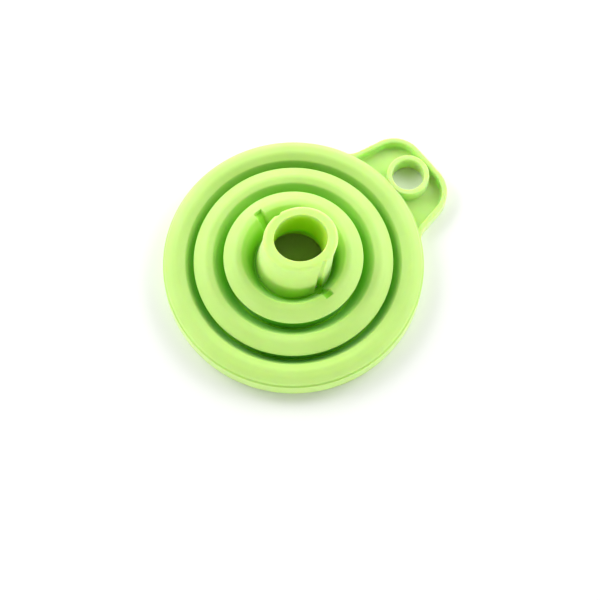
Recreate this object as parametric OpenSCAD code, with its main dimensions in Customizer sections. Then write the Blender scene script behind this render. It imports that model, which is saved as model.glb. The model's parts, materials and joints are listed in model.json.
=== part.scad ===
// Collapsible silicone funnel, folded flat and standing on its mouth.
// Millimetres. The origin is the centre of the mouth's rim plane. +Z runs to the spout,
// +X to the hanging tab, and the spout's two air channels face +Y and -Y.
// The wall is a chain of stiff rings joined by thin folds. Each fold hangs down inside
// the ring outside it, and turns inside out as the next ring is pulled up.

/* [Mouth] */
// Outer diameter of the mouth band
mouth_d = 80; // [77:1:90]
// Height of the mouth band
band_h = 5; // [4:0.5:5]
// Wall of the mouth band
band_wall = 3; // [2.5:0.1:3]
// Step in from the mouth band to the shell above it
band_step = 0.4; // [0.2:0.1:0.6]

/* [Rings] */
// Wall of the rings below their shoulders
ring_wall = 2; // [1.6:0.1:2.2]
// Step in radius from the mouth band to the middle ring
middle_step = 9.5; // [9.2:0.1:9.8]
// Step in radius from the middle ring to the inner ring
inner_step = 9.2; // [9:0.1:9.4]
// Step in radius from the inner ring to the foot of the spout
spout_step = 9.6; // [9.4:0.1:9.8]
// Height of the rim shell's crest
rim_crest_z = 9.1; // [9.1:0.1:9.4]
// Height of the middle ring's crest
middle_crest_z = 10.8; // [10.6:0.1:11.2]
// Height of the inner ring's crest
inner_crest_z = 14.4; // [14.2:0.1:14.8]

/* [Folds] */
// Thickness of the thin folds
fold_wall = 0.9; // [0.7:0.1:0.9]
// Height from the foot of a fold to the edge of the ring that it hangs from
fold_drop = 6.7; // [6.2:0.1:6.7]
// Width of the groove at the foot of a fold
groove_gap = 0.5; // [0.4:0.1:0.6]

/* [Spout] */
// Height of the spout's tip above the mouth plane
tip_z = 28; // [26:0.5:34]
// How much the spout narrows from its foot to its tip, in radius
spout_taper = 1; // [0.6:0.1:1.1]
// Wall of the spout at its tip
spout_wall = 3; // [2:0.1:3.2]
// Length of the straight stretch below the tip
straight_len = 8; // [4:0.5:10]
// Width of the cutter that makes the air channels
vent_d = 2.3; // [1.8:0.1:2.4]
// Lean of the soft spout as it rests folded, in degrees; 0 stands it upright
spout_lean = 5.8; // [0:0.1:6]
// Direction that the spout leans towards, in degrees from the tab
lean_towards = -38.5; // [-180:0.5:180]

/* [Tab] */
// Distance from the funnel's axis to the end of the tab
tab_reach = 54.5; // [54:0.5:58]
// Half width of the tab where its corners begin
tab_half_w = 15; // [14:0.5:16]
// Radius of the tab's two outer corners
tab_corner_r = 9.8; // [9:0.1:10]
// Slope of the tab's sides, which spread towards the mouth band, in degrees
tab_flare = 11; // [8:1:14]
// Thickness of the tab's plate
tab_plate_t = 1.5; // [1.2:0.1:2]
// Width of the raised border round the tab
border_w = 1.5; // [1.2:0.1:1.5]
// Radius of the hanging hole
hang_hole_r = 4.95; // [4:0.05:5]
// Wall of the eyelet round the hanging hole
eyelet_wall = 1.65; // [1.4:0.05:1.7]
// Height of the eyelet
eyelet_h = 6.5; // [5:0.5:7]
// Distance from the funnel's axis to the middle of the hanging hole
eyelet_x = 45.9; // [45.9:0.1:46.3]

/* [Hidden] */
$fn = 96;
ARC_STEPS = 8;        // straight steps in each rounded stretch of a profile
COVER = 1;            // how far a cutter runs past the face it opens
lime = [0.70, 0.90, 0.38];
lime_deep = [0.52, 0.76, 0.20];

mouth_r = mouth_d / 2;
middle_r = mouth_r - middle_step;
inner_r = middle_r - inner_step;
spout_foot_r = inner_r - spout_step;
spout_tip_r = spout_foot_r - spout_taper;
bore_r = spout_tip_r - spout_wall;

// a ring is [outer radius, foot z, shoulder z, crest inset, crest z, edge inset, edge z]
rim_edge_z = rim_crest_z - 1.4;
middle_edge_z = middle_crest_z - 1.2;
inner_edge_z = inner_crest_z - 1.2;
middle_foot_z = rim_edge_z - fold_drop;
inner_foot_z = middle_edge_z - fold_drop;
spout_foot_z = inner_edge_z - fold_drop;
RIM = [mouth_r, band_h, band_h + 0.2, 4.4, rim_crest_z, 6.4, rim_edge_z];
MIDDLE = [middle_r, middle_foot_z, middle_crest_z - 2.6, 3.7, middle_crest_z, 5.9, middle_edge_z];
INNER = [inner_r, inner_foot_z, inner_crest_z - 3, 3.9, inner_crest_z, 6.3, inner_edge_z];

// the lip is the flat end of a ring's wall, where the thin fold begins
LIP_IN = 1.2;         // how far the lip lies inside the ring's inner edge
LIP_DROP = 0.9;       // and how far below it
CROWN_T = 1.9;        // thickness of a ring under its crest
FOLD_FOOT_T = 0.8;    // thickness of the turn at the foot of a fold
function lip_r(ring) = ring[0] - ring[5] - LIP_IN;
function lip_z(ring) = ring[6] - LIP_DROP;

// widest part of a fold's wall measured level, for a fold that leans by dr over dz
function level_wall(dr, dz) = fold_wall * sqrt(1 + pow(dr / dz, 2));
function fold_level(ring, foot_r, foot_z) =
    level_wall(lip_r(ring) - foot_r - groove_gap, lip_z(ring) - foot_z);

// quarter of an ellipse round (cx, cz), from the point beside the centre to the one above
function quarter(cx, cz, rx, rz) =
    [for (i = [0 : ARC_STEPS]) [cx + rx * cos(90 * i / ARC_STEPS), cz + rz * sin(90 * i / ARC_STEPS)]];

// ---- profiles ----

// section of a ring, from its foot over the shoulder and crest to the lip
module ring_section(ring, wall, inset, level) {
    r_out = ring[0] - inset;
    crest_r = ring[0] - ring[3];
    polygon(concat(
        [[ring[0] - wall, ring[1]], [r_out, ring[1]]],
        quarter(crest_r, ring[2], r_out - crest_r, ring[4] - ring[2]),
        [[ring[0] - ring[5], ring[6]],
         [lip_r(ring), lip_z(ring)],
         [lip_r(ring) + level, lip_z(ring)],
         [crest_r - 0.6, ring[4] - CROWN_T],
         [ring[0] - wall, min(ring[2], ring[4] - CROWN_T - 0.5)]]
    ));
}

// section of a fold, from the lip of the ring outside it to the turn under the ring inside it
module fold_section(ring, foot_r, foot_z) {
    level = fold_level(ring, foot_r, foot_z);
    turn_r = foot_r + groove_gap;
    polygon([
        [lip_r(ring), lip_z(ring)],
        [turn_r, foot_z],
        [foot_r - ring_wall, foot_z],
        [foot_r - ring_wall, foot_z - FOLD_FOOT_T],
        [turn_r + level / 2, foot_z - FOLD_FOOT_T],
        [turn_r + level, foot_z],
        [lip_r(ring) + level, lip_z(ring)]
    ]);
}

// outline of the tab, drawn in from its edge by inset, with the corners as arcs
module tab_outline(inset) {
    r = tab_corner_r - inset;
    corner = [for (i = [0 : ARC_STEPS])
        let (a = (90 - tab_flare) * i / ARC_STEPS)
        [tab_reach - tab_corner_r + r * cos(a), tab_half_w - tab_corner_r + r * sin(a)]];
    touch = corner[ARC_STEPS];
    root_x = mouth_r / 2;
    side = concat(corner, [[root_x, touch[1] + (touch[0] - root_x) * tan(tab_flare)]]);
    polygon(concat(side, [for (i = [len(side) - 1 : -1 : 0]) [side[i][0], -side[i][1]]]));
}

// everything inside the mouth band's outer face, which the tab is cut back to
module band_core() {
    translate([0, 0, -COVER]) cylinder(r = mouth_r, h = tip_z);
}

// ---- mouth and tab ----

module mouth_band() {
    color(lime) difference() {
        cylinder(r = mouth_r, h = band_h);
        translate([0, 0, -COVER]) cylinder(r = mouth_r - band_wall, h = band_h + 2 * COVER);
    }
}

module rim_shell() {
    color(lime) rotate_extrude()
        ring_section(RIM, band_wall, band_step, fold_level(RIM, middle_r, middle_foot_z));
}

// plate of the tab, with a clear hole where the eyelet stands
module hang_tab() {
    color(lime_deep) difference() {
        linear_extrude(height = tab_plate_t) tab_outline(0);
        band_core();
        translate([eyelet_x, 0, -COVER])
            cylinder(r = hang_hole_r + eyelet_wall, h = tab_plate_t + 2 * COVER);
    }
}

// raised border, standing on the plate and as high as the mouth band
module tab_border() {
    color(lime) translate([0, 0, tab_plate_t]) difference() {
        linear_extrude(height = band_h - tab_plate_t) tab_outline(0);
        translate([0, 0, -COVER])
            linear_extrude(height = band_h + COVER) tab_outline(border_w);
        band_core();
    }
}

module tab_eyelet() {
    color(lime) difference() {
        translate([eyelet_x, 0, 0]) cylinder(r = hang_hole_r + eyelet_wall, h = eyelet_h);
        translate([eyelet_x, 0, -COVER]) cylinder(r = hang_hole_r, h = eyelet_h + 2 * COVER);
        band_core();
    }
}

// ---- rings and folds, from the mouth inwards ----

module outer_fold() {
    color(lime_deep) rotate_extrude() fold_section(RIM, middle_r, middle_foot_z);
}

module middle_ring() {
    color(lime) rotate_extrude()
        ring_section(MIDDLE, ring_wall, 0, fold_level(MIDDLE, inner_r, inner_foot_z));
}

module middle_fold() {
    color(lime_deep) rotate_extrude() fold_section(MIDDLE, inner_r, inner_foot_z);
}

// the inner ring carries the outer ends of the two air channels as square notches
module inner_ring() {
    notch_in = lip_r(INNER) - COVER;
    notch_out = inner_r - INNER[5] + 1.6;
    notch_floor = inner_edge_z - 0.35;
    color(lime) difference() {
        rotate_extrude()
            ring_section(INNER, ring_wall, 0, fold_level(INNER, spout_foot_r, spout_foot_z));
        for (side = [0, 180])
            rotate([0, 0, side])
                translate([-vent_d / 2, notch_in, notch_floor])
                    cube([vent_d, notch_out - notch_in, inner_crest_z]);
    }
}

module inner_fold() {
    color(lime_deep) rotate_extrude() fold_section(INNER, spout_foot_r, spout_foot_z);
}

// ---- spout ----

// turns the spout about the middle of its foot, as its soft fold lets it lean
module leaning() {
    pivot_z = spout_foot_z - 1;
    translate([0, 0, pivot_z])
        rotate([0, 0, lean_towards]) rotate([0, spout_lean, 0]) rotate([0, 0, -lean_towards])
            translate([0, 0, -pivot_z]) children();
}

// tapered tube, widening inside towards its foot, with two air channels, and cut level at
// its foot and tip
module spout() {
    throat_z = spout_foot_z + 7;      // lower end of the straight bore
    flare_z = spout_foot_z + 3;       // upper end of the full-width foot
    low_z = spout_foot_z - 3;
    high_z = tip_z + 3;
    vent_x = spout_tip_r + 0.9;
    color(lime) intersection() {
        translate([0, 0, spout_foot_z])
            cylinder(r = middle_r, h = tip_z - spout_foot_z);
        leaning() difference() {
            rotate_extrude() polygon([
                [spout_foot_r - ring_wall, low_z],
                [spout_foot_r, low_z],
                [spout_foot_r, spout_foot_z],
                [spout_tip_r, tip_z - straight_len],
                [spout_tip_r, high_z],
                [bore_r, high_z],
                [bore_r, throat_z],
                [spout_foot_r - ring_wall, flare_z]
            ]);
            for (side = [-1, 1])
                translate([0, side * vent_x, low_z - COVER])
                    cylinder(d = vent_d, h = high_z);
        }
    }
}

mouth_band();
rim_shell();
hang_tab();
tab_border();
tab_eyelet();
outer_fold();
middle_ring();
middle_fold();
inner_ring();
inner_fold();
spout();
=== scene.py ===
"""Looks of a folding silicone funnel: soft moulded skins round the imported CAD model.

Shapes are worked out in millimetres from the frame's boxes and mounts, and are turned into
metres when a mesh is made.
"""
import json
import math

import bpy
import numpy as np
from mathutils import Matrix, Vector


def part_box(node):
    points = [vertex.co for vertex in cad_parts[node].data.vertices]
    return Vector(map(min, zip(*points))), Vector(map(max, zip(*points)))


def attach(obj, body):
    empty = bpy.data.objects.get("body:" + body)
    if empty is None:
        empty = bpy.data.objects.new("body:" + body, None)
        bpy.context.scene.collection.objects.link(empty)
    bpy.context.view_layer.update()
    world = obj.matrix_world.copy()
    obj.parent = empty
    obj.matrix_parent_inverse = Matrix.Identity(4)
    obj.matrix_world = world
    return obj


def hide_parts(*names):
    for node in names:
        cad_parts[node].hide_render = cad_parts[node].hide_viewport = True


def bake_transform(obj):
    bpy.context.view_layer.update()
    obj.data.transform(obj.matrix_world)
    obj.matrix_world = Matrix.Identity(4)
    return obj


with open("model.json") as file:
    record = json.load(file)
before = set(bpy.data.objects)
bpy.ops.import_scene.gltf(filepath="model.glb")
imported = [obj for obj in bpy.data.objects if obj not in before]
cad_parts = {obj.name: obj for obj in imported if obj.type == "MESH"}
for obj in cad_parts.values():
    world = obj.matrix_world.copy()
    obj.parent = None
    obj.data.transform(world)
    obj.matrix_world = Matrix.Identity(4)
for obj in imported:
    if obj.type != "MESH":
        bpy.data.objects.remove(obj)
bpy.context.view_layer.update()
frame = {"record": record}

MM = 0.001
MOUNTS = {mount["name"]: mount for mount in frame["record"]["mounts"]}


def low(node):
    """Lowest corner of a CAD node, in millimetres."""
    return np.array(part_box(node)[0]) / MM


def high(node):
    """Highest corner of a CAD node, in millimetres."""
    return np.array(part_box(node)[1]) / MM


# ---- sizes, from the frame ----

mouth_r = high("mouth_band")[1]
band_h = high("mouth_band")[2]
rim_top = high("rim_shell")[2]
middle_r, middle_top, middle_foot = high("middle_ring")[1], high("middle_ring")[2], low("middle_ring")[2]
inner_r, inner_top, inner_foot = high("inner_ring")[1], high("inner_ring")[2], low("inner_ring")[2]
spout_foot, tip_z = low("spout")[2], high("spout")[2]
bore_r = MOUNTS["spout_bore"]["dims"]["r_mm"]
tip_r = MOUNTS["spout_tip"]["dims"]["r_mm"]

BAND_WALL = 3
RING_WALL = 2.4           # from a ring's edge in to the inside of its wall
FOLD_WALL = 0.9
UNDERCUT = 1.3            # how far a ring's wall stands back below its edge
TURN_DROP = 0.4           # from a ring's foot down to the middle of the fold that turns under it
SEAM = 0.02               # how far a fold's skin lies under the ring's skin where they overlap
PARTING_RISE = 1.5        # from the top of the CAD's mouth band up to the parting line
SPOUT_IN = 9.6            # from the inner ring's edge in to the spout's foot
SPOUT_TAPER = 1.0         # how much larger the spout's radius is at its foot than at its tip
VENT_AZIMUTHS = (90, 270)
spout_edge_r = inner_r - SPOUT_IN + UNDERCUT    # where the spout's edge would be if it were a ring

# ---- sections ----

ARC_STEP = math.radians(11)
SUPPORT = 0.12            # short stretch beside each arc, which keeps its shading to itself


def rounded(corners, step, closed):
    """Points along a path through corners (r, z, radius), each corner turned by an arc."""
    at = [np.array(corner[:2], float) for corner in corners]
    count = len(at)
    points = []
    for i, corner in enumerate(corners):
        if not closed and i in (0, count - 1):
            points.append(at[i])
            continue
        back = at[i - 1] - at[i]
        ahead = at[(i + 1) % count] - at[i]
        room = 0.5 * min(np.linalg.norm(back), np.linalg.norm(ahead))
        back /= np.linalg.norm(back)
        ahead /= np.linalg.norm(ahead)
        half = math.acos(np.clip(back @ ahead, -1, 1)) / 2
        reach = min(corner[2] / math.tan(half), room)
        radius = reach * math.tan(half)
        inward = (back + ahead) / np.linalg.norm(back + ahead)
        centre = at[i] + inward * radius / math.sin(half)
        first = at[i] + back * reach - centre
        last = at[i] + ahead * reach - centre
        turn = math.pi - 2 * half
        steps = max(2, math.ceil(turn / ARC_STEP))
        for k in range(steps + 1):
            before = math.sin(turn * (1 - k / steps))
            after = math.sin(turn * k / steps)
            points.append(centre + (first * before + last * after) / math.sin(turn))
    return subdivided(np.array(points), step, closed)


def subdivided(points, step, closed):
    """The same path with no stretch longer than step, and a short stretch at each end of a long one."""
    dense = []
    count = len(points)
    for i in range(count if closed else count - 1):
        start, end = points[i], points[(i + 1) % count]
        length = np.linalg.norm(end - start)
        if length < 1e-6:
            continue
        cuts = set(np.linspace(0, 1, math.ceil(length / step) + 1)[:-1])
        if length > 5 * SUPPORT:
            cuts |= {SUPPORT / length, 1 - SUPPORT / length}
        dense += [start + (end - start) * cut for cut in sorted(cuts)]
    if not closed:
        dense.append(points[-1])
    return np.array(dense)


# ---- meshes ----

PAINTED_GLOW = 2                # value of the painted-light attribute under the funnel, which paints a bright green there for light passed through the silicone; 0 is unpainted outside, 1 painted shade in a groove


def make_object(name, points, faces, hidden, material, body, nodes):
    """A smooth mesh piece, from points in millimetres, in place of the CAD nodes and riding on body."""
    mesh = bpy.data.meshes.new(name)
    mesh.from_pydata((points.reshape(-1, 3) * MM).tolist(), [], faces)
    mesh.shade_smooth()
    mesh.materials.append(material)
    # this attribute carries painted shade (1, in grooves and the bore) and painted through-light (2, under
    # the funnel) to the material
    mesh.attributes.new("hidden", "FLOAT", "POINT").data.foreach_set("value", hidden.ravel())
    piece = bpy.data.objects.new(name, mesh)
    bpy.context.collection.objects.link(piece)
    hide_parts(*nodes)
    if body:
        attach(piece, body)
    return piece


def turns(fine_at=(), coarse_step=1.5, fine_step=0.4, fine_half=8):
    """Angles in radians round the axis, closer together near the directions in fine_at, in degrees."""
    coarse = np.arange(0, 360, coarse_step)
    angles = [coarse]
    keep = np.ones(len(coarse), bool)
    for centre in fine_at:
        apart = np.abs((coarse - centre + 180) % 360 - 180)
        keep &= apart > fine_half
        angles.append((centre + np.arange(-fine_half, fine_half + fine_step / 2, fine_step)) % 360)
    angles[0] = coarse[keep]
    return np.radians(np.unique(np.round(np.concatenate(angles), 4)))


def lathe(section, angles, closed):
    """Points (rows along the section, columns round the axis) and faces of a turned surface."""
    rows, columns = len(section), len(angles)
    r, z = section[:, 0][:, None], section[:, 1][:, None]
    points = np.stack([r * np.cos(angles), r * np.sin(angles), z + 0 * angles], axis=-1)
    faces = []
    for i in range(rows if closed else rows - 1):
        below, above = i * columns, (i + 1) % rows * columns
        for j in range(columns):
            after = (j + 1) % columns
            faces.append((below + j, below + after, above + after, above + j))
    return points, faces


def smoothstep(x, start, end):
    """A soft step from 0 at start to 1 at end."""
    t = np.clip((x - start) / (end - start), 0, 1)
    return t * t * (3 - 2 * t)


def soft_min(a, b, blend):
    """Smaller of a and b, with the crease between them rounded over blend."""
    h = np.clip(0.5 + 0.5 * (b - a) / blend, 0, 1)
    return b + (a - b) * h - blend * h * (1 - h)


# ---- materials ----

def noise(nodes, links, coords, scale, detail):
    """Grey noise whose features are about 1 / scale metres across."""
    node = nodes.new("ShaderNodeTexNoise")
    node.inputs["Scale"].default_value = scale
    node.inputs["Detail"].default_value = detail
    node.inputs["Roughness"].default_value = 0.5
    links.new(coords, node.inputs["Vector"])
    return node.outputs["Fac"]


def ramp(nodes, links, value, start, end):
    """A colour or grey that runs from start to end as value goes from 0.3 to 0.7."""
    node = nodes.new("ShaderNodeValToRGB")
    node.color_ramp.elements[0].position = 0.3
    node.color_ramp.elements[1].position = 0.7
    node.color_ramp.elements[0].color = (*start, 1)
    node.color_ramp.elements[1].color = (*end, 1)
    links.new(value, node.inputs["Fac"])
    return node.outputs["Color"]


def mixed(nodes, links, factor, a, b):
    """The colour a where factor is 0 or less and b where it is 1 or more."""
    node = nodes.new("ShaderNodeMix")
    node.data_type = "RGBA"
    links.new(factor, node.inputs["Factor"])
    links.new(a, node.inputs["A"])
    links.new(b, node.inputs["B"])
    return node.outputs["Result"]


def silicone(name, glow, depth, shaded, outer):
    """Satin translucent silicone: cloudy colour, a faint moulded grain and uneven gloss.

    Light spreads inside it by about depth, in millimetres, and glow is the share of it that does.
    The point attribute chooses the tint: outer at 0, in open air; the shade tint at 1, painted shade in a
    groove or in the bore; at 2, under the funnel, a painted bright green standing for light passed through
    the silicone.
    """
    material = bpy.data.materials.new(name)
    material.use_nodes = True
    nodes, links = material.node_tree.nodes, material.node_tree.links
    shader = nodes["Principled BSDF"]
    coords = nodes.new("ShaderNodeTexCoord").outputs["Object"]

    clouds = noise(nodes, links, coords, scale=70, detail=3)
    hidden = nodes.new("ShaderNodeAttribute")
    hidden.attribute_name = "hidden"
    outer_colour = ramp(nodes, links, clouds, *outer)
    painted_shade_colour = ramp(nodes, links, clouds, *shaded)
    painted_glow_colour = ramp(nodes, links, clouds, *PAINTED_GLOW_TINTS)
    # mix in the painted groove or bore shade, then the painted through-light tint under the funnel
    with_painted_shade = mixed(nodes, links, hidden.outputs["Fac"], outer_colour, painted_shade_colour)
    painted_glow_share = nodes.new("ShaderNodeMath")
    painted_glow_share.operation = "SUBTRACT"
    painted_glow_share.inputs[1].default_value = PAINTED_GLOW - 1
    links.new(hidden.outputs["Fac"], painted_glow_share.inputs[0])
    colour = mixed(nodes, links, painted_glow_share.outputs["Value"], with_painted_shade, painted_glow_colour)
    links.new(colour, shader.inputs["Base Color"])

    patches = noise(nodes, links, coords, scale=260, detail=3)
    links.new(ramp(nodes, links, patches, (0.40,) * 3, (0.52,) * 3), shader.inputs["Roughness"])

    grain = noise(nodes, links, coords, scale=2600, detail=2)
    bump = nodes.new("ShaderNodeBump")
    bump.inputs["Strength"].default_value = 0.25
    bump.inputs["Distance"].default_value = 0.00004
    links.new(grain, bump.inputs["Height"])
    links.new(bump.outputs["Normal"], shader.inputs["Normal"])

    shader.inputs["Subsurface Weight"].default_value = glow
    shader.inputs["Subsurface Radius"].default_value = (0.6, 1.0, 0.15)
    shader.inputs["Subsurface Scale"].default_value = depth * MM
    shader.inputs["IOR"].default_value = 1.41
    shader.inputs["Specular IOR Level"].default_value = 0.4
    shader.inputs["Sheen Weight"].default_value = 0.2
    shader.inputs["Sheen Roughness"].default_value = 0.4
    return material


# each tint runs from its first colour to its second, in clouds
OUTSIDE_TINTS = ((0.51, 0.76, 0.19), (0.55, 0.80, 0.22))
# painted shade: the deeper, greener tint taken in the grooves
GROOVE_SHADE_TINTS = ((0.25, 0.71, 0.01), (0.29, 0.75, 0.02))
# painted shade: the deeper, greener tint taken down the spout's bore
BORE_SHADE_TINTS = ((0.62, 0.90, 0.03), (0.66, 0.94, 0.04))
# painted light: a bright green under the funnel, standing for light passed through the silicone
PAINTED_GLOW_TINTS = ((0.36, 0.95, 0.01), (0.40, 0.97, 0.02))
# painted light: paler copies of the outside colour for the tab and the spout, for the extra light they
# catch
TAB_LIT_TINTS = ((0.59, 0.83, 0.26), (0.63, 0.87, 0.29))
SPOUT_LIT_TINTS = ((0.58, 0.79, 0.22), (0.62, 0.83, 0.25))
thick = silicone("silicone_thick", glow=0.6, depth=0.6, shaded=GROOVE_SHADE_TINTS, outer=OUTSIDE_TINTS)
thin = silicone("silicone_thin", glow=0.5, depth=0.5, shaded=GROOVE_SHADE_TINTS, outer=OUTSIDE_TINTS)
clear = silicone("silicone_spout", glow=1.0, depth=2.0, shaded=BORE_SHADE_TINTS, outer=SPOUT_LIT_TINTS)
border = silicone("silicone_tab", glow=1.0, depth=1.5, shaded=GROOVE_SHADE_TINTS, outer=TAB_LIT_TINTS)

# ---- rings and folds ----

# where each ring's gentle inner slope turns down into its fold, as (r, z)
RIM_BROW = np.array([mouth_r - 6.9, rim_top - 1.1])
MIDDLE_BROW = np.array([middle_r - 5.9, middle_top - 0.35])
INNER_BROW = np.array([inner_r - 5.5, inner_top - 0.1])
BROW_R = 0.8
GROOVE = 0.45             # gap between a ring's wall and the fold beside it, at the bottom
LIP_RUN = 2.8             # how far a ring's skin follows the fold below its brow
FOLD_START = 1.9          # and how far below the brow the fold's own skin starts
BROW_SHADE = 0.4          # share of the painted groove shade that a slope takes right at its brow,
BROW_SPAN = (-0.3, 1.2)   # between these depths below it,
SLOPE_SPAN = (2, 6)       # and between which it takes the rest
MIDDLE_SHOULDER = 2.6     # how far the middle ring's edge lies below its crest,
MIDDLE_CREST_IN = 3.7     # and how far its crest lies inside its edge
INNER_SHOULDER = 3.0
INNER_CREST_IN = 3.9
RING_STEP = 0.45          # longest stretch of a ring's section
NOTCHED_STEP = 0.22       # and of the inner ring's, which has to show the notches
WALL_SHADE_RUN = 0.8      # a ring's wall takes the painted groove shade over this height, below its edge
UNDER_FLOOR = -1          # a height that no wall reaches, for the rim's, which gets no painted shade
NOTCH_R = 1.4             # half the width of the air channels' notches in the inner ring
NOTCH_IN = 3.9            # how far inside the inner ring's edge they stop
NOTCH_DEPTH = 1.4
NOTCH_EDGE = 0.2
NOTCH_SHADE = 0.8         # how much of the painted groove shade they have


def slope_of(brow, edge_r, foot_z):
    """Unit vectors along the slope below a brow, downwards, and square to it, outwards."""
    along = np.array([edge_r - UNDERCUT + GROOVE, foot_z]) - brow
    along /= np.linalg.norm(along)
    return along, np.array([-along[1], along[0]])


def ring_crown(brow, along, away, crest, under):
    """Corners (r, z, radius) of a ring from its crest to its lip and back under the crown."""
    lip = brow + along * LIP_RUN
    back = lip + away * (FOLD_WALL + SEAM)
    elbow = brow + along * 0.3 + away * 1.7
    return [
        (*crest, 2.2),
        (*brow, BROW_R),
        (*lip, 0.1),
        (*back, 0.3),
        (*elbow, 1.0),
        (*under, 1.2),
    ]


def rim_section():
    """Closed section of the rim and the mouth band, anticlockwise from the floor."""
    along, away = slope_of(RIM_BROW, middle_r, middle_foot)
    shoulder_r = mouth_r - 0.45
    parting_z = band_h + PARTING_RISE
    corners = [
        (mouth_r, 0, 0.6),
        (mouth_r, parting_z - 0.3, 0.25),
        (mouth_r - 0.8, parting_z, 0.1),
        (shoulder_r, parting_z + 0.3, 0.2),
        (shoulder_r - 0.3, rim_top - 1.6, 1.2),
        (mouth_r - 2.3, rim_top - 0.35, 3),
    ]
    crest = (mouth_r - 4.6, rim_top + 0.05)
    under = (mouth_r - BAND_WALL, rim_top - 2)
    corners += ring_crown(RIM_BROW, along, away, crest, under)
    corners.append((mouth_r - BAND_WALL, 0, 0.6))
    return rounded(corners, 0.8, closed=True)


def ring_section(ring_r, top_z, foot_z, brow, along, away, shoulder_drop, crest_in, step=RING_STEP):
    """Closed section of the middle or the inner ring, anticlockwise from its foot."""
    edge_z = top_z - shoulder_drop
    wall_r = ring_r - UNDERCUT
    corners = [
        (wall_r, foot_z, 0.6),
        (wall_r, edge_z - UNDERCUT, 0.4),
        (ring_r, edge_z, 0.2),
        (ring_r - 0.12, edge_z + 0.35, 0.4),
        (ring_r - 0.55 * crest_in, top_z - 0.3 * shoulder_drop, 3.5),
    ]
    crest = (ring_r - crest_in, top_z + 0.15)
    under = (ring_r - RING_WALL, top_z - 2)
    corners += ring_crown(brow, along, away, crest, under)
    corners.append((ring_r - RING_WALL, foot_z, 0.9))
    return rounded(corners, step, closed=True)


def fold_path(brow, along, away, edge_r, foot_z):
    """Middle of a fold's skin, from inside the ring above it to inside the foot of the next ring."""
    middle = away * (FOLD_WALL / 2 + SEAM)
    start = brow + along * FOLD_START + middle
    turn_z = foot_z - TURN_DROP
    turn_r = start[0] + along[0] / along[1] * (turn_z - start[1])
    wall_middle = edge_r - (RING_WALL + UNDERCUT) / 2
    corners = [
        (*start, 0),
        (turn_r, turn_z, 0.75),
        (wall_middle, turn_z, 0.6),
        (wall_middle, foot_z + 0.35, 0),
    ]
    return rounded(corners, 0.35, closed=False)


def add_fold(name, brow, edge_r, foot_z, fine_at=()):
    """The thin skin from under one ring's brow to the foot of the next, given its wall by a solidify
    modifier.
    """
    along, away = slope_of(brow, edge_r, foot_z)
    path = fold_path(brow, along, away, edge_r, foot_z)
    points, faces = lathe(path, turns(fine_at), closed=False)
    # painted shade down the fold's slope, and in the notches where there are any
    hidden = slope_painted_shade(brow, points[..., 2])
    if fine_at:
        notched(points, hidden)
    piece = make_object(name + "_skin", points, faces, hidden, thin, None, [name])
    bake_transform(piece)
    wall = piece.modifiers.new("wall", "SOLIDIFY")
    wall.thickness = FOLD_WALL * MM
    wall.offset = 0


def slope_painted_shade(brow, z):
    """Share of the painted groove shade on the slope below a ring's brow, at height z."""
    depth = brow[1] - z
    return BROW_SHADE * smoothstep(depth, *BROW_SPAN) + (1 - BROW_SHADE) * smoothstep(depth, *SLOPE_SPAN)


def ring_painted_shade_and_glow(section, points, brow, wall_z):
    """Painted light of a turned ring: groove shade on its wall below wall_z and on its slope below brow,
    then the through-light tint inside.
    """
    z = section[:, 1]
    crest = int(np.argmax(z))
    lip = crest + int(np.argmax(np.diff(z[crest:]) > 0))
    share = smoothstep(wall_z - z, 0, WALL_SHADE_RUN)
    share[crest:lip] = slope_painted_shade(brow, z[crest:lip])
    share[lip:] = PAINTED_GLOW
    return np.repeat(share[:, None], points.shape[1], axis=1)


def add_rim():
    """The rim and the mouth band, as one turned skin."""
    section = rim_section()
    points, faces = lathe(section, turns(), closed=True)
    hidden = ring_painted_shade_and_glow(section, points, RIM_BROW, UNDER_FLOOR)
    nodes = ["mouth_band", "rim_shell"]
    make_object("rim_skin", points, faces, hidden, thick, "mouth", nodes)


def add_middle_ring():
    """The middle ring, down to its lip, where the middle fold takes over."""
    along, away = slope_of(MIDDLE_BROW, inner_r, inner_foot)
    section = ring_section(middle_r, middle_top, middle_foot, MIDDLE_BROW, along, away,
                           MIDDLE_SHOULDER, MIDDLE_CREST_IN)
    points, faces = lathe(section, turns(), closed=True)
    hidden = ring_painted_shade_and_glow(section, points, MIDDLE_BROW, middle_top - MIDDLE_SHOULDER)
    nodes = ["middle_ring"]
    make_object("middle_ring_skin", points, faces, hidden, thick, "middle", nodes)


def notched(points, hidden):
    """Sinks the two radial notches that carry the air channels across the inner ring's slope, and paints
    shade into them.
    """
    end = inner_r - NOTCH_IN
    x, y, z = points[..., 0], np.abs(points[..., 1]), points[..., 2]
    across = np.maximum(1 - (x / NOTCH_R) ** 4, 0) ** 0.5
    inside = 1 - smoothstep(y, end - NOTCH_EDGE, end + NOTCH_EDGE)
    share = across * inside * smoothstep(z, spout_foot, spout_foot + 2)
    points[..., 2] -= NOTCH_DEPTH * share
    np.maximum(hidden, NOTCH_SHADE * share, out=hidden)


def add_inner_ring():
    """The inner ring, with the outer end of each air channel as a square notch in its inner slope."""
    along, away = slope_of(INNER_BROW, spout_edge_r, spout_foot)
    section = ring_section(inner_r, inner_top, inner_foot, INNER_BROW, along, away,
                           INNER_SHOULDER, INNER_CREST_IN, NOTCHED_STEP)
    points, faces = lathe(section, turns(VENT_AZIMUTHS), closed=True)
    hidden = ring_painted_shade_and_glow(section, points, INNER_BROW, inner_top - INNER_SHOULDER)
    notched(points, hidden)
    nodes = ["inner_ring"]
    make_object("inner_ring_skin", points, faces, hidden, thick, "inner", nodes)


# ---- spout ----

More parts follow.
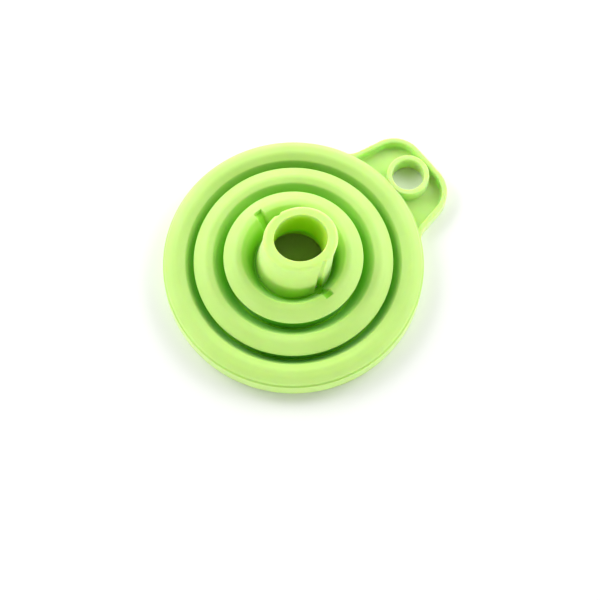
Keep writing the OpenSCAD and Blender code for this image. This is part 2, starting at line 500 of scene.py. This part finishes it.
TIP_LONG = 0.05           # how much the soft tip is drawn out along its long direction
TIP_LONG_AZIMUTH = math.radians(-26.5)
VENT_R = 1.15             # radius of the air channels
VENT_OUT = 0.5            # their axis lies this far outside the spout's tip
VENT_MARGIN = 0.3         # how far past a channel's width the wall is reshaped
VENT_EDGE = 0.12          # rounding of a channel's edges
FOOT_SHADE = 0.5          # share of the painted groove shade at the spout's foot, outside,
FOOT_SHADE_START = 2      # which starts this far above the inner ring's crest
FOOT_SHADE_RUN = 8        # and comes in over this height
BORE_SHADE = (0.2, 3)     # depths below the tip between which the bore takes its painted shade,
CAVITY_GLOW = (12, 15)   # and between which that turns to the painted through-light tint inside the funnel


def spout_section():
    """Closed section of the upright spout, from its foot up its outside and down its bore."""
    foot_r = tip_r + SPOUT_TAPER
    corners = [
        (foot_r, spout_foot, 0.4),
        (tip_r, tip_z - 8, 3),
        (tip_r, tip_z, 1.3),
        (bore_r, tip_z, 0.22),
        (bore_r, spout_foot + 7, 3),
        (foot_r - RING_WALL, spout_foot + 3, 2),
        (foot_r - RING_WALL, spout_foot, 0.4),
    ]
    return rounded(corners, 0.6, closed=True)


def leaning(points):
    """Points of the upright spout moved over, level by level, along the axis of its bore."""
    axis = np.array(MOUNTS["spout_bore"]["axis"])
    middle = np.array(MOUNTS["spout_bore"]["pos_m"]) / MM
    levels = (points[..., 2] - middle[2]) / axis[2]
    moved = points.copy()
    moved[..., 0] += middle[0] + levels * axis[0]
    moved[..., 1] += middle[1] + levels * axis[1]
    return moved


def ovalled(points):
    """The soft tip drawn out slightly along one direction, less and less towards the foot."""
    c, s = math.cos(TIP_LONG_AZIMUTH), math.sin(TIP_LONG_AZIMUTH)
    x, y, z = points[..., 0], points[..., 1], points[..., 2]
    share = TIP_LONG * smoothstep(z, spout_foot + 3, tip_z)
    along = (x * c + y * s) * (1 + share)
    across = (y * c - x * s) * (1 - share)
    return np.stack([along * c - across * s, along * s + across * c, z], axis=-1)


def add_spout():
    """The leaning spout, with an air channel cut down each side of it."""
    points, faces = lathe(spout_section(), turns(VENT_AZIMUTHS), closed=True)
    x, y, z = points[..., 0], points[..., 1], points[..., 2]
    outside = np.hypot(x, y) > (bore_r + tip_r) / 2
    channel = tip_r + VENT_OUT - np.sqrt(np.maximum(VENT_R ** 2 - x ** 2, 0))
    cut = outside & (np.abs(x) < VENT_R + VENT_MARGIN)
    points[..., 1] = np.where(cut, np.sign(y) * soft_min(np.abs(y), channel, VENT_EDGE), y)
    depth = tip_z - z
    # painted shade at the spout's foot outside and down its bore, turning to painted through-light further
    # down
    painted_foot_shade = FOOT_SHADE * smoothstep(inner_top + FOOT_SHADE_START - z, 0, FOOT_SHADE_RUN)
    painted_bore_shade_and_glow = smoothstep(depth, *BORE_SHADE) + smoothstep(depth, *CAVITY_GLOW)
    hidden = np.where(outside, painted_foot_shade, painted_bore_shade_and_glow)
    points = leaning(ovalled(points))
    make_object("spout_skin", points, faces, hidden, clear, "spout", ["spout"])


# ---- tab ----

TAB_GRID = 0.3            # spacing of the grid on which the tab's skin is found
TAB_EDGE = 0.4            # rounding of the tab's edges
EYELET_EDGE = 0.35
TAB_BLEND = 3.0           # rounding of the corner, seen from above, where the tab leaves the rim
TAB_SINK = 0.6            # how far the tab's skin runs on inside the rim
BAND_GAP = 0.04           # the tab's part of the band lies this far under the rim's skin
FLOOR_GAP = 0.02          # and its underside this far above the floor


def tab_field():
    """Signed distance, in millimetres, from the soft skin of the tab with its border and eyelet."""
    reach = high("hang_tab")[0]
    plate_t = high("hang_tab")[2]
    half_w = 15.0
    corner_r = 9.8
    flare = math.radians(11)
    border_w = 1.6
    eyelet_r, eyelet_top = high("tab_eyelet")[1:]
    hole_x = MOUNTS["hang_hole"]["pos_m"][0] / MM
    hole_r = MOUNTS["hang_hole"]["dims"]["r_mm"]
    corner = np.array([reach - corner_r, half_w - corner_r])
    side_out = np.array([math.sin(flare), math.cos(flare)])
    side_back = np.array([-math.cos(flare), math.sin(flare)])

    def slab(plan, z, bottom, top, edge):
        """An outline, given by its distance in plan, raised from bottom to top with its edges rounded."""
        level = np.abs(z - (bottom + top) / 2) - (top - bottom) / 2 + edge
        across = plan + edge
        outside = np.hypot(np.maximum(across, 0), np.maximum(level, 0))
        return outside + np.minimum(np.maximum(across, level), 0) - edge

    def field(p):
        x, y, z = p[..., 0], np.abs(p[..., 1]), p[..., 2]
        dx, dy = x - corner[0], y - corner[1]
        side = dx * side_out[0] + dy * side_out[1]
        past_corner = (dy > 0) & (dx * side_back[0] + dy * side_back[1] < 0)
        outline = np.where(past_corner, np.hypot(dx, dy), np.maximum(dx, side)) - corner_r
        from_axis = np.hypot(x, y)
        band = from_axis - mouth_r + BAND_GAP
        outline = soft_min(outline, band, TAB_BLEND)
        from_hole = np.hypot(x - hole_x, y)
        border_plan = np.abs(outline + border_w / 2) - border_w / 2
        eyelet_plan = np.abs(from_hole - (hole_r + eyelet_r) / 2) - (eyelet_r - hole_r) / 2
        plate = slab(outline, z, 0, plate_t, TAB_EDGE)
        border = slab(border_plan, z, 0, band_h, TAB_EDGE)
        eyelet = slab(eyelet_plan, z, 0, eyelet_top, EYELET_EDGE)
        wall = slab(band, z, 0, band_h, TAB_EDGE)
        whole = slab(np.minimum(outline, band), z, 0, band_h, TAB_EDGE)
        hole = slab(from_hole - hole_r - 0.2, z, -5, 20, 0.1)
        solid = soft_min(soft_min(plate, border, 0.9), wall, 0.5)
        solid = np.maximum(solid, whole)
        solid = np.maximum(solid, -hole)
        solid = soft_min(solid, eyelet, 0.5)
        solid = np.maximum(solid, FLOOR_GAP - z)
        return np.maximum(solid, mouth_r - TAB_SINK - from_axis)

    return field


def surface_net(field, lowest, highest, step):
    """Quads over the zero surface of field: one point in each cell that the surface crosses."""
    axes = [np.arange(a, b + step, step) for a, b in zip(lowest, highest)]
    grid = np.stack(np.meshgrid(*axes, indexing="ij"), axis=-1)
    value = field(grid)
    cells = np.array(value.shape) - 1
    total = np.zeros((*cells, 3))
    count = np.zeros(cells)
    for axis in range(3):
        others = [i for i in range(3) if i != axis]
        for a in (0, 1):
            for b in (0, 1):
                first = [slice(0, cells[i]) for i in range(3)]
                first[others[0]] = slice(a, cells[others[0]] + a)
                first[others[1]] = slice(b, cells[others[1]] + b)
                second = list(first)
                second[axis] = slice(1, cells[axis] + 1)
                v0, v1 = value[tuple(first)], value[tuple(second)]
                crossed = (v0 < 0) != (v1 < 0)
                share = np.where(crossed, v0 / np.where(crossed, v0 - v1, 1), 0)
                place = grid[tuple(first)].copy()
                place[..., axis] += share * step
                total += np.where(crossed[..., None], place, 0)
                count += crossed
    used = count > 0
    number = np.full(tuple(cells), -1)
    number[used] = np.arange(used.sum())
    points = total[used] / count[used][:, None]
    faces = []
    for axis in range(3):
        b, c = [(1, 2), (2, 0), (0, 1)][axis]
        inner = [slice(1, cells[i]) for i in range(3)]
        inner[axis] = slice(0, cells[axis])
        ahead = list(inner)
        ahead[axis] = slice(1, cells[axis] + 1)
        v0, v1 = value[tuple(inner)], value[tuple(ahead)]
        for sign in (True, False):
            where = np.argwhere(((v0 < 0) == sign) & ((v1 < 0) != sign))
            where += [0 if i == axis else 1 for i in range(3)]
            ring = []
            for db, dc in ((1, 1), (0, 1), (0, 0), (1, 0)):
                cell = where.copy()
                cell[:, b] -= db
                cell[:, c] -= dc
                ring.append(number[tuple(cell.T)])
            quads = np.stack(ring if sign else ring[::-1], axis=-1)
            faces += quads.tolist()
    return points, faces


def settled(field, points, rounds=4):
    """Points moved onto the zero surface of field, in a few careful steps."""
    small = 0.01
    pace = 0.8
    least = 0.2
    for _ in range(rounds):
        slope = np.stack([
            (field(points + small * unit) - field(points - small * unit)) / (2 * small)
            for unit in np.eye(3)
        ], axis=-1)
        size = np.maximum((slope ** 2).sum(-1), least)
        points = points - pace * (field(points) / size)[:, None] * slope
    return points


def add_tab():
    """The plate, border and eyelet of the hanging tab as one melted skin."""
    field = tab_field()
    margin = 1.0
    start = mouth_r * 0.85
    half_w = high("hang_tab")[1] + 3
    lowest = (start, -half_w, -margin)
    highest = (high("hang_tab")[0] + margin, half_w, high("tab_eyelet")[2] + margin)
    points, faces = surface_net(field, lowest, highest, TAB_GRID)
    points = settled(field, points)
    hidden = np.zeros(len(points))
    nodes = ["hang_tab", "tab_border", "tab_eyelet"]
    make_object("tab_skin", points, faces, hidden, border, "mouth", nodes)


# ---- studio, in metres and degrees ----

CAMERA_AZIMUTH = -39.1
CAMERA_ELEVATION = 71.5
CAMERA_DISTANCE = 0.6
CAMERA_LENS = 117
AIM_RIGHT = 0.002         # the camera looks this far to its right of the funnel's axis,
AIM_NEAR = 0.010          # and this far on its near side
FLOOR_HALF = 3.0
FLOOR_DROP = 0.00005      # the floor lies this little under the mouth, so that no two faces coincide
BOX_DISTANCE = 0.45
WALLS = 1.26              # brightness of the light tent's walls,
CAP = 0.01                # and of its cap, where the camera looks in
CAP_ELEVATION = 60
CAP_INNER = 32            # the cap is dim this far round its middle,
CAP_OUTER = 58            # and gives way to the full walls at this distance
LOW_GLOW = 2.1            # how much brighter the walls are at the floor
LOW_GLOW_TOP = 25         # elevation at which that has faded


def towards(azimuth, elevation):
    """Unit vector from the funnel towards a camera or light; azimuth 0 is along -Y, and 90 along +X."""
    a, e = math.radians(azimuth), math.radians(elevation)
    return np.array([math.sin(a) * math.cos(e), -math.cos(a) * math.cos(e), math.sin(e)])


def facing_back(azimuth, elevation):
    """Rotation of a camera or light that stands in that direction and looks back."""
    return (math.pi / 2 - math.radians(elevation), 0, math.radians(azimuth))


def add_floor():
    half = FLOOR_HALF
    corners = [(-half, -half, 0), (half, -half, 0), (half, half, 0), (-half, half, 0)]
    mesh = bpy.data.meshes.new("floor")
    mesh.from_pydata(corners, [], [(0, 1, 2, 3)])
    floor = bpy.data.objects.new("floor", mesh)
    bpy.context.collection.objects.link(floor)
    floor.location.z = -FLOOR_DROP
    material = bpy.data.materials.new("paper")
    material.use_nodes = True
    shader = material.node_tree.nodes["Principled BSDF"]
    shader.inputs["Base Color"].default_value = (0.93, 0.93, 0.93, 1)
    shader.inputs["Roughness"].default_value = 0.9
    shader.inputs["Specular IOR Level"].default_value = 0.1
    mesh.materials.append(material)


def add_camera():
    """The camera looks steeply down at the folded funnel, from the side away from its tab."""
    azimuth = math.radians(CAMERA_AZIMUTH)
    right = np.array([math.cos(azimuth), math.sin(azimuth), 0])
    aim = AIM_RIGHT * right + AIM_NEAR * towards(CAMERA_AZIMUTH, 0)
    data = bpy.data.cameras.new("camera")
    data.lens = CAMERA_LENS
    camera = bpy.data.objects.new("camera", data)
    camera.location = aim + CAMERA_DISTANCE * towards(CAMERA_AZIMUTH, CAMERA_ELEVATION)
    camera.rotation_euler = facing_back(CAMERA_AZIMUTH, CAMERA_ELEVATION)
    bpy.context.collection.objects.link(camera)
    bpy.context.scene.camera = camera


def add_light(name, azimuth, elevation, width, power):
    """A round soft box that faces the funnel from azimuth, measured as the camera's is."""
    data = bpy.data.lights.new(name, "AREA")
    data.shape = "DISK"
    data.size = width
    data.energy = power
    light = bpy.data.objects.new(name, data)
    light.location = BOX_DISTANCE * towards(azimuth, elevation)
    light.rotation_euler = facing_back(azimuth, elevation)
    bpy.context.collection.objects.link(light)


def map_range(nodes, from_min, from_max, to_min, to_max):
    """A node that maps its value smoothly from one range to another."""
    node = nodes.new("ShaderNodeMapRange")
    node.interpolation_type = "SMOOTHSTEP"
    node.inputs["From Min"].default_value = from_min
    node.inputs["From Max"].default_value = from_max
    node.inputs["To Min"].default_value = to_min
    node.inputs["To Max"].default_value = to_max
    return node


def add_world():
    """A light tent: bright walls all round, brighter near the floor, and a dim cap for the camera."""
    world = bpy.data.worlds.new("studio")
    world.use_nodes = True
    nodes, links = world.node_tree.nodes, world.node_tree.links
    direction = nodes.new("ShaderNodeTexCoord").outputs["Generated"]
    nearness = nodes.new("ShaderNodeVectorMath")
    nearness.operation = "DOT_PRODUCT"
    nearness.inputs[1].default_value = towards(CAMERA_AZIMUTH, CAP_ELEVATION)
    cap_edge, cap_core = math.cos(math.radians(CAP_OUTER)), math.cos(math.radians(CAP_INNER))
    fade = map_range(nodes, cap_edge, cap_core, WALLS, CAP)
    level = nodes.new("ShaderNodeSeparateXYZ")
    low_glow = map_range(nodes, 0, math.sin(math.radians(LOW_GLOW_TOP)), LOW_GLOW, 1)
    strength = nodes.new("ShaderNodeMath")
    strength.operation = "MULTIPLY"
    links.new(direction, nearness.inputs[0])
    links.new(nearness.outputs["Value"], fade.inputs["Value"])
    links.new(direction, level.inputs[0])
    links.new(level.outputs["Z"], low_glow.inputs["Value"])
    links.new(fade.outputs["Result"], strength.inputs[0])
    links.new(low_glow.outputs["Result"], strength.inputs[1])
    nodes["Background"].inputs["Color"].default_value = (1, 1, 1, 1)
    links.new(strength.outputs["Value"], nodes["Background"].inputs["Strength"])
    bpy.context.scene.world = world


add_camera()
add_floor()
add_world()
add_light("left_box", azimuth=CAMERA_AZIMUTH - 120, elevation=42, width=0.25, power=0.72)
add_light("right_box", azimuth=CAMERA_AZIMUTH + 120, elevation=42, width=0.25, power=0.65)
add_light("front_box", azimuth=CAMERA_AZIMUTH, elevation=9, width=0.3, power=0.5)
bpy.context.scene.view_settings.view_transform = "Standard"

add_rim()
add_middle_ring()
add_inner_ring()
add_fold("outer_fold", RIM_BROW, middle_r, middle_foot)
add_fold("middle_fold", MIDDLE_BROW, inner_r, inner_foot)
add_fold("inner_fold", INNER_BROW, spout_edge_r, spout_foot, VENT_AZIMUTHS)
add_spout()
add_tab()
